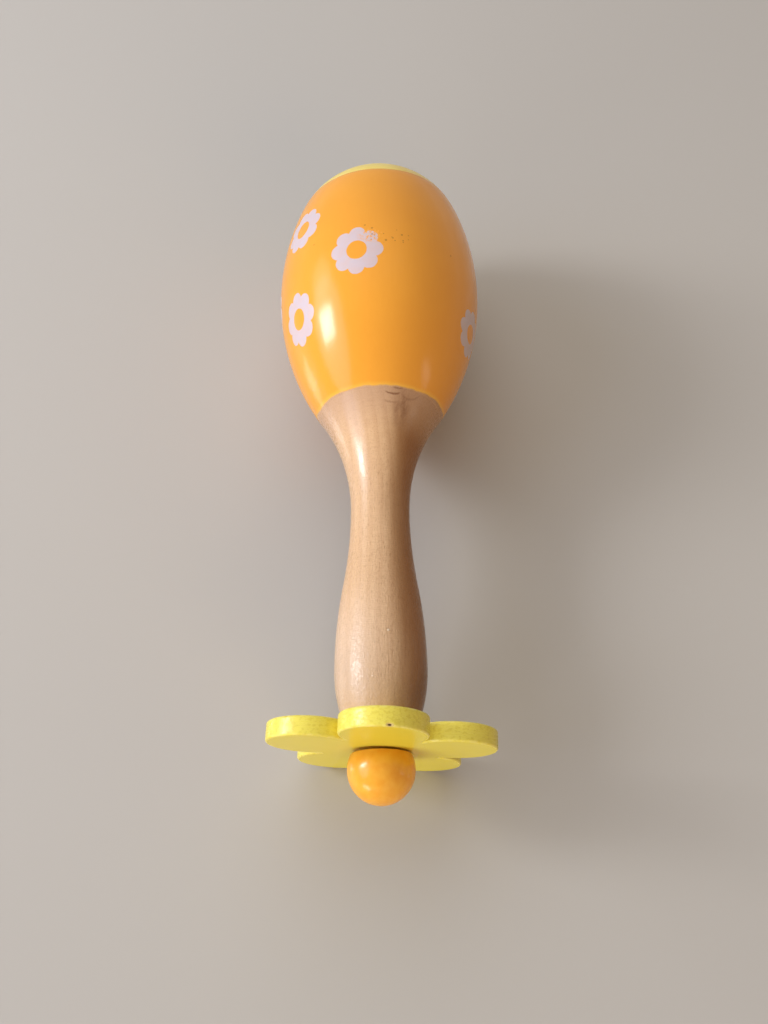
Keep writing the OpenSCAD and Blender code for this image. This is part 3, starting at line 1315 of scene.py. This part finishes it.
@dataclass(frozen=True)
class BallLacquer:
    """Orange lacquer of the end ball, thick and a little lumpy."""

    orange: Colour = srgb(248, 180, 62)
    deep: Colour = srgb(244, 168, 50)
    grime: Colour = srgb(150, 90, 30)
    lump: float = 2.2
    lump_h: float = 0.05
    roughness: float = 0.20

    def material(self, shop: Workshop) -> bpy.types.Material:
        """Builds the material.

        Args:
            shop: The workshop with the axis, the sizes and the effects.

        Returns:
            The material.
        """
        finish = Finish("ball_lacquer", shop, self.roughness)
        pad, effects = finish.pad, shop.effects
        drift = finish.effect(effects.drift, Patch=2.6)
        specks = finish.effect(effects.specks, Spacing=2.6, Radius=0.18, Share=0.2)
        finish.colour(pad.layers(self.orange, (drift, self.deep), (pad.times(specks, 0.3), self.grime)))
        lumps = pad.times(finish.noise((self.lump, self.lump, self.lump), 1.0), self.lump_h)
        finish.bump(pad.math("ADD", lumps, finish.effect(effects.ripple)))
        return finish.material


@dataclass(frozen=True)
class CapPaint:
    """Yellow gloss paint of the crown cap, over whose right edge the head's orange strays."""

    yellow: Colour = srgb(250, 224, 108)
    deep: Colour = srgb(242, 208, 84)
    orange: Colour = HEAD_ORANGE
    over: float = 0.9
    soft: float = 0.12
    grime: Colour = srgb(150, 110, 40)
    roughness: float = 0.20

    def material(self, shop: Workshop) -> bpy.types.Material:
        """Builds the material.

        Args:
            shop: The workshop with the axis, the sizes and the effects.

        Returns:
            The material.
        """
        finish = Finish("yellow_cap_paint", shop, self.roughness)
        pad, effects = finish.pad, shop.effects
        drift = finish.effect(effects.drift, Patch=14.0)
        specks = finish.effect(effects.specks, Spacing=5.0, Radius=0.22, Share=0.15)
        over = pad.step(finish.beside, 2.0, 18.0, 0.0, self.over)
        above = pad.math("SUBTRACT", pad.math("SUBTRACT", finish.along, shop.sizes.rim_z), over)
        finish.colour(pad.layers(self.yellow, (drift, self.deep), (pad.times(specks, 0.3), self.grime),
                                 (pad.step(above, self.soft, -self.soft), self.orange)))
        finish.bump(finish.effect(effects.ripple))
        return finish.material


@dataclass(frozen=True)
class FlowerPaint:
    """Yellow paint on plywood: smooth faces, mottled sides with the ply's lines, pale edges and one chip."""

    face: Colour = srgb(234, 219, 72)
    side: Colour = srgb(240, 225, 98)
    thin: Colour = srgb(220, 200, 66)
    worn: Colour = srgb(248, 236, 146)
    bruise: Colour = srgb(214, 186, 128)
    bare: Colour = srgb(78, 54, 40)
    brush_h: float = 0.04
    roughness: float = 0.27

    def material(self, shop: Workshop) -> bpy.types.Material:
        """Builds the material, on the attributes side, edge and chip of the flower's mesh.

        Args:
            shop: The workshop with the axis, the sizes and the effects.

        Returns:
            The material.
        """
        finish = Finish("yellow_flower_paint", shop, self.roughness)
        pad, effects = finish.pad, shop.effects
        side, edge, chip = (pad.add("ShaderNodeAttribute", attribute_name=n).outputs["Fac"]
                            for n in ("side", "edge", "chip"))
        drift = finish.effect(effects.drift, Patch=9.0)
        mottle = pad.step(finish.noise((1.0, 0.7, 1.0), 3.0), 0.42, 0.66)
        ply = pad.step(finish.noise((5.0, 0.36, 5.0)), 0.46, 0.70)
        brush = pad.times(side, pad.math("MAXIMUM", pad.times(mottle, 0.6), pad.times(ply, 0.26)))
        rub = pad.step(finish.noise((1.4, 1.4, 1.4), 3.0), 0.40, 0.62)
        finish.colour(pad.layers(self.face, (side, self.side), (brush, self.thin),
                                 (pad.times(drift, 0.14), self.thin), (pad.times(edge, rub, 0.5), self.worn),
                                 (pad.step(chip, 0.12, 0.45, 0.0, 0.8), self.bruise),
                                 (pad.step(chip, 0.62, 0.85), self.bare)))
        rough = pad.math("MULTIPLY_ADD", brush, 0.16, self.roughness)
        finish.roughen(pad.math("MULTIPLY_ADD", chip, 0.3, rough))
        finish.bump(pad.math("MULTIPLY_ADD", brush, self.brush_h, finish.effect(effects.ripple)))
        return finish.material


@dataclass(frozen=True)
class PelletPlastic:
    """Moulded plastic of the rattle pellets, with a little swirl."""

    red: Colour = srgb(206, 74, 52)
    swirl: Colour = srgb(176, 52, 40)
    roughness: float = 0.3
    specular: float = 0.5

    def material(self, shop: Workshop) -> bpy.types.Material:
        """Builds the material.

        Args:
            shop: The workshop with the axis, the sizes and the effects.

        Returns:
            The material.
        """
        finish = Finish("pellet_plastic", shop, self.roughness, self.specular)
        finish.colour(finish.pad.mix(finish.effect(shop.effects.drift, Patch=2.0), self.red, self.swirl))
        return finish.material


@dataclass
class Head:
    """The hollow egg-shaped head."""

    shop: Workshop
    turns: int = 288
    wall_points: int = 4
    hollow_spacing: float = 1.2
    lacquer: HeadLacquer = HeadLacquer()
    edge: float = 0.03

    def outline(self) -> np.ndarray:
        """Closed outline of the wall: outside from neck to rim, then the mouth, the hollow and the socket.

        Returns:
            Rows of (radius, height).
        """
        s, side = self.shop.sizes, self.shop.sizes.side()
        belly, shoulder, crown = (side[k] for k in (Stretch.BELLY, Stretch.SHOULDER, Stretch.CROWN))
        neck_r, rim_r = belly.at(s.neck_z)[0], crown.at(s.rim_z)[0]
        outside = [replace(belly, start_z=s.neck_z + self.edge), shoulder,
                   replace(crown, end_z=s.rim_z - self.edge)]
        inside = [replace(shoulder, radius=shoulder.radius - s.wall, start_z=s.mouth_z, end_z=s.belly_z),
                  replace(belly, radius=belly.radius - s.wall, start_z=s.belly_z, end_z=s.floor_z)]
        socket_r = s.tenon_d / 2 + s.glue_gap
        return join(*(a.points() for a in outside),
                    [(rim_r - self.edge, s.rim_z)],
                    line((s.mouth_d / 2, s.rim_z), (s.mouth_d / 2, s.mouth_z), self.wall_points),
                    *(a.points(self.hollow_spacing) for a in inside),
                    line((socket_r, s.floor_z), (socket_r, s.neck_z), self.wall_points),
                    [(neck_r - self.edge, s.neck_z)])

    def build(self) -> bpy.types.Object:
        """Makes the head and dresses it.

        Returns:
            The piece.
        """
        shop = self.shop
        piece = grid_object("lacquered_head", shop.axis.revolve(self.outline(), self.turns), wrap_rows=True)
        material = self.lacquer.material(shop)
        shop.finish_piece(piece, "maraca", "head_shell", "orange_lacquer", material)
        return piece


@dataclass
class CrownCap:
    """The domed cap that closes the head."""

    shop: Workshop
    turns: int = 256
    wall_points: int = 5
    dome_spacing: float = 0.4
    paint: CapPaint = CapPaint()
    edge: float = 0.05

    def outline(self) -> np.ndarray:
        """Outline from the middle of the spigot's end to the top of the crown.

        Returns:
            Rows of (radius, height).
        """
        s = self.shop.sizes
        crown = s.side()[Stretch.CROWN]
        spigot = s.mouth_d / 2 - s.glue_gap
        return join(line((0, s.mouth_z), (spigot, s.mouth_z), self.wall_points),
                    line((spigot, s.mouth_z), (spigot, s.rim_z), self.wall_points),
                    [(crown.at(s.rim_z)[0] - self.edge, s.rim_z)],
                    replace(crown, start_z=s.rim_z + self.edge).points(self.dome_spacing)[:-1],
                    [(0, crown.end_z)])

    def build(self) -> bpy.types.Object:
        """Makes the cap and dresses it.

        Returns:
            The piece.
        """
        shop = self.shop
        piece = grid_object("crown_cap_turned", shop.axis.revolve(self.outline(), self.turns))
        material = self.paint.material(shop)
        shop.finish_piece(piece, "maraca", "crown_cap", "yellow_cap_paint", material)
        return piece


@dataclass
class Handle:
    """The bare wooden handle with its swell, waist, flare and tenon."""

    shop: Workshop
    turns: int = 224
    wall_points: int = 6
    edge_spacing: float = 0.15
    wood: TurnedWood = HandleWood("bare_wood")
    edge: float = 0.03

    def outline(self) -> np.ndarray:
        """Outline from the bottom of the dowel's hole, round the end and along the grip to the tenon.

        Returns:
            Rows of (radius, height).
        """
        s, side = self.shop.sizes, self.shop.sizes.side()
        end, flare = side[Stretch.END], side[Stretch.FLARE]
        edge_z = s.end_z + s.end_edge
        edge_r, arc_z = eased_edge(end, s.end_edge, edge_z)
        hole_r, hole_z = s.dowel_d / 2 + s.glue_gap, s.end_z + s.handle_hole
        tenon_r = s.tenon_d / 2
        grip = (replace(end, start_z=arc_z), side[Stretch.SWELL], side[Stretch.WAIST],
                replace(flare, end_z=s.neck_z - self.edge))
        return join([(0, hole_z)], line((hole_r, hole_z), (hole_r, s.end_z), self.wall_points),
                    Arc(edge_r, edge_z, s.end_edge, s.end_z, arc_z).points(self.edge_spacing),
                    *(a.points() for a in grip),
                    [(flare.at(s.neck_z)[0] - self.edge, s.neck_z)],
                    line((tenon_r, s.neck_z), (tenon_r, s.floor_z), self.wall_points), [(0, s.floor_z)])

    def build(self) -> bpy.types.Object:
        """Makes the handle and dresses it.

        Returns:
            The piece.
        """
        shop = self.shop
        piece = grid_object("turned_handle", shop.axis.revolve(self.outline(), self.turns))
        material = self.wood.material(shop)
        shop.finish_piece(piece, "maraca", "handle", "bare_wood", material)
        return piece


@dataclass
class FlowerGuard:
    """The five-petal flower disc that spins on the dowel."""

    shop: Workshop
    petals: int = 5
    petal_points: int = 168
    face_rows: int = 13
    edge_rows: int = 7
    side_rows: int = 9
    paint: FlowerPaint = FlowerPaint()
    chip_side: float = 1.05
    chip_height: float = 0.42
    chip_size: tuple[float, float] = (0.85, 0.38)
    chip_depth: float = 0.4

    def petal_outline(self, inset: float) -> np.ndarray:
        """Outline of the flower, drawn in by an inset.

        Each petal is a circle of which the part outside the hub counts, and between two petals the
        outline touches the hub. How far round that part reaches follows from the cosine rule.

        Args:
            inset: How far the outline lies inside the full one.

        Returns:
            Rows of (beside, above) the axis, anticlockwise from the petal on top.
        """
        s = self.shop.sizes
        petal_r, hub_r = s.petal_d / 2 - inset, s.hub_d / 2 - inset
        petal_at = (s.guard_d - s.petal_d) / 2
        reach = math.acos((hub_r**2 - petal_at**2 - petal_r**2) / (2 * petal_at * petal_r))
        turn = reach * np.linspace(-1, 1, self.petal_points)
        petal = petal_at + petal_r * np.exp(1j * turn)
        one = np.append(petal, hub_r * np.exp(1j * np.pi / self.petals))
        steps = np.exp(2j * np.pi * (np.arange(self.petals) / self.petals + 0.25))
        flower = (steps[:, None] * one).ravel()
        return np.stack([flower.real, flower.imag], axis=1)

    def grid(self) -> tuple[np.ndarray, np.ndarray, np.ndarray, np.ndarray, np.ndarray]:
        """Rows of the flower's surface: the front face, round the edge, the back face and the hole.

        An eased edge is a quarter circle, edge (1 - sin t) from the side and edge (1 - cos t) from a face.

        Returns:
            Grids of the distances beside and above the axis and along it, and of how much of a side
            and how much of a worn edge each point is.
        """
        s = self.shop.sizes
        edge, top = s.guard_edge, s.guard_t
        turn = np.linspace(0, np.pi / 2, self.edge_rows)
        level = np.zeros(self.side_rows)
        inset = np.concatenate([edge * (1 - np.sin(turn)), level, edge * (1 - np.cos(turn))])
        wall = np.linspace(edge, top - edge, self.side_rows + 2)[1:-1]
        height = np.concatenate([edge * (1 - np.cos(turn)), wall, top - edge * (1 - np.sin(turn))])
        rim = np.stack([self.petal_outline(i) for i in inset])
        angle = np.arctan2(rim[0, :, 1], rim[0, :, 0])
        hole_r = s.dowel_d / 2 + s.spin_gap
        hole = hole_r * np.stack([np.cos(angle), np.sin(angle)], axis=1)
        share = np.linspace(0, 1, self.face_rows + 1)[:-1, None, None]
        front = hole + share * (rim[0] - hole)
        back = (hole + share * (rim[-1] - hole))[::-1]
        rows = np.concatenate([front, rim, back])
        heights = np.concatenate([np.zeros(len(front)), height, np.full(len(back), top)])
        plain = np.zeros(len(front))
        side = np.concatenate([plain, 1 - (inset / edge) ** 2, plain])
        worn = np.concatenate([plain, np.sin(2 * turn), level, np.sin(2 * turn), plain])
        grow = np.ones(rows.shape[1])
        return rows[..., 0], rows[..., 1], heights[:, None] * grow, side[:, None] * grow, worn[:, None] * grow

    def build(self) -> bpy.types.Object:
        """Makes the flower with its chip and dresses it.

        The chip is a dip on the top petal that fades as exp(-x^2 - z^2), with the distances from its
        middle as shares of its size. The disc is turned about its middle by its lean.

        Returns:
            The piece.
        """
        shop = self.shop
        beside, above, height, side, worn = self.grid()
        on_top = (above > shop.sizes.hub_d / 2).astype(float)
        chip = on_top * np.exp(-(((beside - self.chip_side) / self.chip_size[0]) ** 2)
                               - ((height - self.chip_height) / self.chip_size[1]) ** 2) * (side + worn > 0)
        above = above - chip**3 * self.chip_depth
        lean, middle = math.radians(shop.sizes.guard_lean), shop.sizes.guard_t / 2
        off = height - middle
        leant = shop.sizes.guard_z + middle + off * math.cos(lean) - beside * math.sin(lean)
        points = shop.axis.place(beside * math.cos(lean) + off * math.sin(lean), leant, above)
        piece = grid_object("flower_disc", points, wrap_rows=True)
        for name, values in (("side", side), ("edge", worn), ("chip", chip)):
            point_attribute(piece, name, values)
        material = self.paint.material(shop)
        shop.finish_piece(piece, "flower", "flower_guard", "yellow_flower_paint", material)
        return piece


@dataclass
class EndBall:
    """The small ball that closes the end, with a flat towards the flower."""

    shop: Workshop
    turns: int = 128
    wall_points: int = 5
    ball_spacing: float = 0.3
    edge_spacing: float = 0.1
    lacquer: BallLacquer = BallLacquer()

    def outline(self) -> np.ndarray:
        """Outline from the tip round the ball to the flat and down the dowel's hole.

        Returns:
            Rows of (radius, height).
        """
        s = self.shop.sizes
        radius = s.ball_d / 2
        edge_z = s.ball_h - s.ball_edge
        sphere = Arc(0.0, radius, radius, 0.0, edge_z)
        edge_r, arc_z = eased_edge(sphere, s.ball_edge, edge_z)
        hole_r, hole_z = s.dowel_d / 2 + s.glue_gap, s.ball_h - s.ball_hole
        return join([(0, 0)], replace(sphere, end_z=arc_z).points(self.ball_spacing)[1:],
                    Arc(edge_r, edge_z, s.ball_edge, arc_z, s.ball_h).points(self.edge_spacing),
                    line((hole_r, s.ball_h), (hole_r, hole_z), self.wall_points), [(0, hole_z)])

    def build(self) -> bpy.types.Object:
        """Makes the ball and dresses it.

        Returns:
            The piece.
        """
        shop = self.shop
        piece = grid_object("lacquered_ball", shop.axis.revolve(self.outline(), self.turns))
        shop.finish_piece(piece, "maraca", "end_ball", "ball_lacquer", self.lacquer.material(shop))
        return piece


@dataclass
class InnerWorks:
    """The dowel and the pellets, which keep their solids."""

    shop: Workshop
    nodes: dict[str, bpy.types.Object]
    dowel: TurnedWood = TurnedWood("dowel_wood", ring=1.4, roughness=0.6, coat=0.0)
    plastic: PelletPlastic = PelletPlastic()

    def dress(self) -> None:
        """Gives the dowel raw wood and the pellets plastic."""
        finishes = {"axle_dowel": self.dowel.material(self.shop)}
        pellet = self.plastic.material(self.shop)
        finishes.update({name: pellet for name in self.nodes if name.startswith("pellet_")})
        for name, material in finishes.items():
            for slot in self.nodes[name].material_slots:
                slot.material = material
            LOG.info("%s keeps its solid, with %s", name, material.name)


class LampShape(Enum):
    """Shape of a lamp's shining face."""

    RECTANGLE = "RECTANGLE"
    ELLIPSE = "ELLIPSE"


@dataclass(frozen=True)
class Lamp:
    """A soft lamp, placed by its direction from the maraca. One that isn't mirrored makes no highlight.

    Angles are in degrees, lengths in metres and power in watts.
    """

    name: str
    bearing: float
    elevation: float
    distance: float
    width: float
    height: float
    power: float
    colour: Colour = srgb(255, 255, 255)
    mirrored: bool = True
    shape: LampShape = LampShape.RECTANGLE
    spread: float = 120.0

    def hang(self, aim: Vector) -> None:
        """Hangs the lamp so that it faces a point.

        Args:
            aim: The point, in metres.
        """
        a, e = math.radians(self.bearing), math.radians(self.elevation)
        towards = Vector((math.sin(a) * math.cos(e), math.cos(a) * math.cos(e), math.sin(e)))
        data = bpy.data.lights.new(self.name, "AREA")
        data.shape = self.shape.value
        data.size, data.size_y = self.width, self.height
        data.energy = self.power
        data.spread = math.radians(self.spread)
        data.color = self.colour[:3]
        lamp = bpy.data.objects.new(self.name, data)
        lamp.location = aim + towards * self.distance
        lamp.visible_glossy = self.mirrored
        lamp.rotation_euler = (-towards).to_track_quat("-Z", "Y").to_euler()
        bpy.context.scene.collection.objects.link(lamp)


@dataclass
class Studio:
    """Floor, lamps, surrounding light and camera. The floor is in metres, and angles are in degrees."""

    aim: Vector
    floor_half: float = 4.0
    floor_fade: tuple[float, float] = (0.34, 0.8)
    floor_colour: Colour = srgb(192, 188, 182)
    floor_bounce: Colour = srgb(140, 122, 104)
    floor_far: Colour = srgb(0, 0, 0)
    floor_rough: tuple[float, float] = (0.95, 0.10)
    floor_gloss: float = 0.6
    sky: float = 0.2
    sky_colour: Colour = srgb(255, 232, 208)
    backdrop: Colour = srgb(184, 182, 178)
    camera_mm: tuple[float, float, float] = (-7.812, -141.612, 262.192)
    pitch: float = 62.555
    yaw: float = 4.208
    roll: float = -4.289
    focal_px: float = 917.64
    image_px: float = 1024.0
    sensor_mm: float = 36.0
    clip_m: float = 0.01
    lamps: tuple[Lamp, ...] = (
        Lamp("window", -84.5, 25.5, 1.2, 0.29, 0.36, 2.75),
        Lamp("wall", -92.0, 27.0, 1.4, 1.5, 1.0, 4.3, srgb(206, 222, 255), shape=LampShape.ELLIPSE),
        Lamp("curtain", -62.0, 22.0, 1.2, 0.38, 0.46, 0.25, shape=LampShape.ELLIPSE),
        Lamp("overhead", -15.0, 48.0, 1.5, 1.6, 1.6, 5.9, mirrored=False),
        Lamp("front_fill", -152.0, 9.0, 1.5, 1.2, 0.5, 4.2, mirrored=False),
        Lamp("doorway", -142.0, 1.0, 1.4, 0.52, 0.30, 1.15, shape=LampShape.ELLIPSE),
        Lamp("room", 158.0, 20.0, 1.6, 1.0, 0.8, 3.25, srgb(255, 222, 170), mirrored=False),
        Lamp("far_strip", 104.0, 17.0, 1.6, 0.20, 0.55, 0.17, shape=LampShape.ELLIPSE))

    @staticmethod
    def seen(pad: Pad) -> Socket:
        """One where the camera sees something, also in a mirror or through glass, and zero elsewhere.

        Args:
            pad: The pad of the tree that asks.

        Returns:
            The mask.
        """
        rays = pad.add("ShaderNodeLightPath")
        seen = pad.math("MAXIMUM", rays.outputs["Is Camera Ray"], rays.outputs["Is Transmission Ray"])
        return pad.math("MAXIMUM", seen, rays.outputs["Is Glossy Ray"])

    def lay_floor(self) -> None:
        """Lays a plain floor that runs out into the backdrop.

        It is pale and matt to the eye, has a sheen in the lacquer and throws back little light.
        """
        corner = np.array([(-1, -1), (1, -1), (1, 1), (-1, 1)]) * self.floor_half
        mesh = bpy.data.meshes.new("floor")
        mesh.from_pydata([(x, y, 0.0) for x, y in corner], [], [(0, 1, 2, 3)])
        floor = bpy.data.objects.new("floor", mesh)
        bpy.context.scene.collection.objects.link(floor)
        material = bpy.data.materials.new("pale_floor")
        material.use_nodes = True
        shader = material.node_tree.nodes["Principled BSDF"]
        pad = Pad(material.node_tree)
        seen = self.seen(pad)
        place = pad.add("ShaderNodeTexCoord").outputs["Object"]
        far = pad.times(seen, pad.step(pad.vector("LENGTH", place), *self.floor_fade))
        near = pad.mix(seen, self.floor_bounce, self.floor_colour)
        pad.feed(shader.inputs["Base Color"], pad.mix(far, near, self.floor_far))
        shader.inputs["Emission Color"].default_value = self.backdrop
        pad.feed(shader.inputs["Emission Strength"], far)
        mirrored = pad.add("ShaderNodeLightPath").outputs["Is Glossy Ray"]
        pad.feed(shader.inputs["Roughness"], pad.step(mirrored, 0.0, 1.0, *self.floor_rough))
        pad.feed(shader.inputs["Specular IOR Level"], pad.step(far, 0.0, 1.0, self.floor_gloss, 0.0))
        mesh.materials.append(material)
        floor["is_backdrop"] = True

    def light(self) -> None:
        """Hangs the lamps, and sets an even light from all round that the camera sees as a pale backdrop."""
        for lamp in self.lamps:
            lamp.hang(self.aim)
        world = bpy.data.worlds.new("room")
        bpy.context.scene.world = world
        world.use_nodes = True
        pad = Pad(world.node_tree)
        ground = world.node_tree.nodes["Background"]
        seen = self.seen(pad)
        pad.feed(ground.inputs["Color"], pad.mix(seen, self.sky_colour, self.backdrop))
        pad.feed(ground.inputs["Strength"], pad.step(seen, 0.0, 1.0, self.sky, 1.0))

    def set_camera(self) -> None:
        """Sets the camera where the photograph was taken from, by its pitch, yaw and roll in degrees."""
        p, y, r = (math.radians(v) for v in (self.pitch, self.yaw, self.roll))
        forward = Vector((math.sin(y) * math.cos(p), math.cos(y) * math.cos(p), -math.sin(p)))
        right = Vector((math.cos(y), -math.sin(y), 0.0))
        down = forward.cross(right)
        right, down = right * math.cos(r) + down * math.sin(r), down * math.cos(r) - right * math.sin(r)
        data = bpy.data.cameras.new("camera")
        data.sensor_width = self.sensor_mm
        data.lens = self.focal_px * self.sensor_mm / self.image_px
        data.clip_start = self.clip_m
        camera = bpy.data.objects.new("camera", data)
        turn = Matrix((right, -down, -forward)).transposed().to_4x4()
        camera.matrix_world = Matrix.Translation(Vector(self.camera_mm) * MM) @ turn
        bpy.context.scene.collection.objects.link(camera)
        bpy.context.scene.camera = camera

    def set_up(self) -> None:
        """Sets up the whole studio."""
        self.lay_floor()
        self.light()
        self.set_camera()
        bpy.context.scene.view_settings.view_transform = "Standard"


def main() -> None:
    """Loads the frame, makes and dresses every piece, and sets up the studio."""
    logging.basicConfig(level=logging.INFO, format="%(name)s: %(message)s")
    for old in list(bpy.data.objects):
        bpy.data.objects.remove(old)
    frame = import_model()
    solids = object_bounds()
    sizes = MaracaSizes()
    shop = Workshop(TurningAxis.from_frame(frame, sizes), sizes, Effects())
    for maker in (Head(shop), CrownCap(shop), Handle(shop), FlowerGuard(shop), EndBall(shop)):
        piece = maker.build()
        LOG.info("%s: %d faces", piece.name, len(piece.data.polygons))
    InnerWorks(shop, frame["nodes"]).dress()
    Studio((solids[0] + solids[1]) / 2).set_up()


if __name__ == "__main__":
    main()
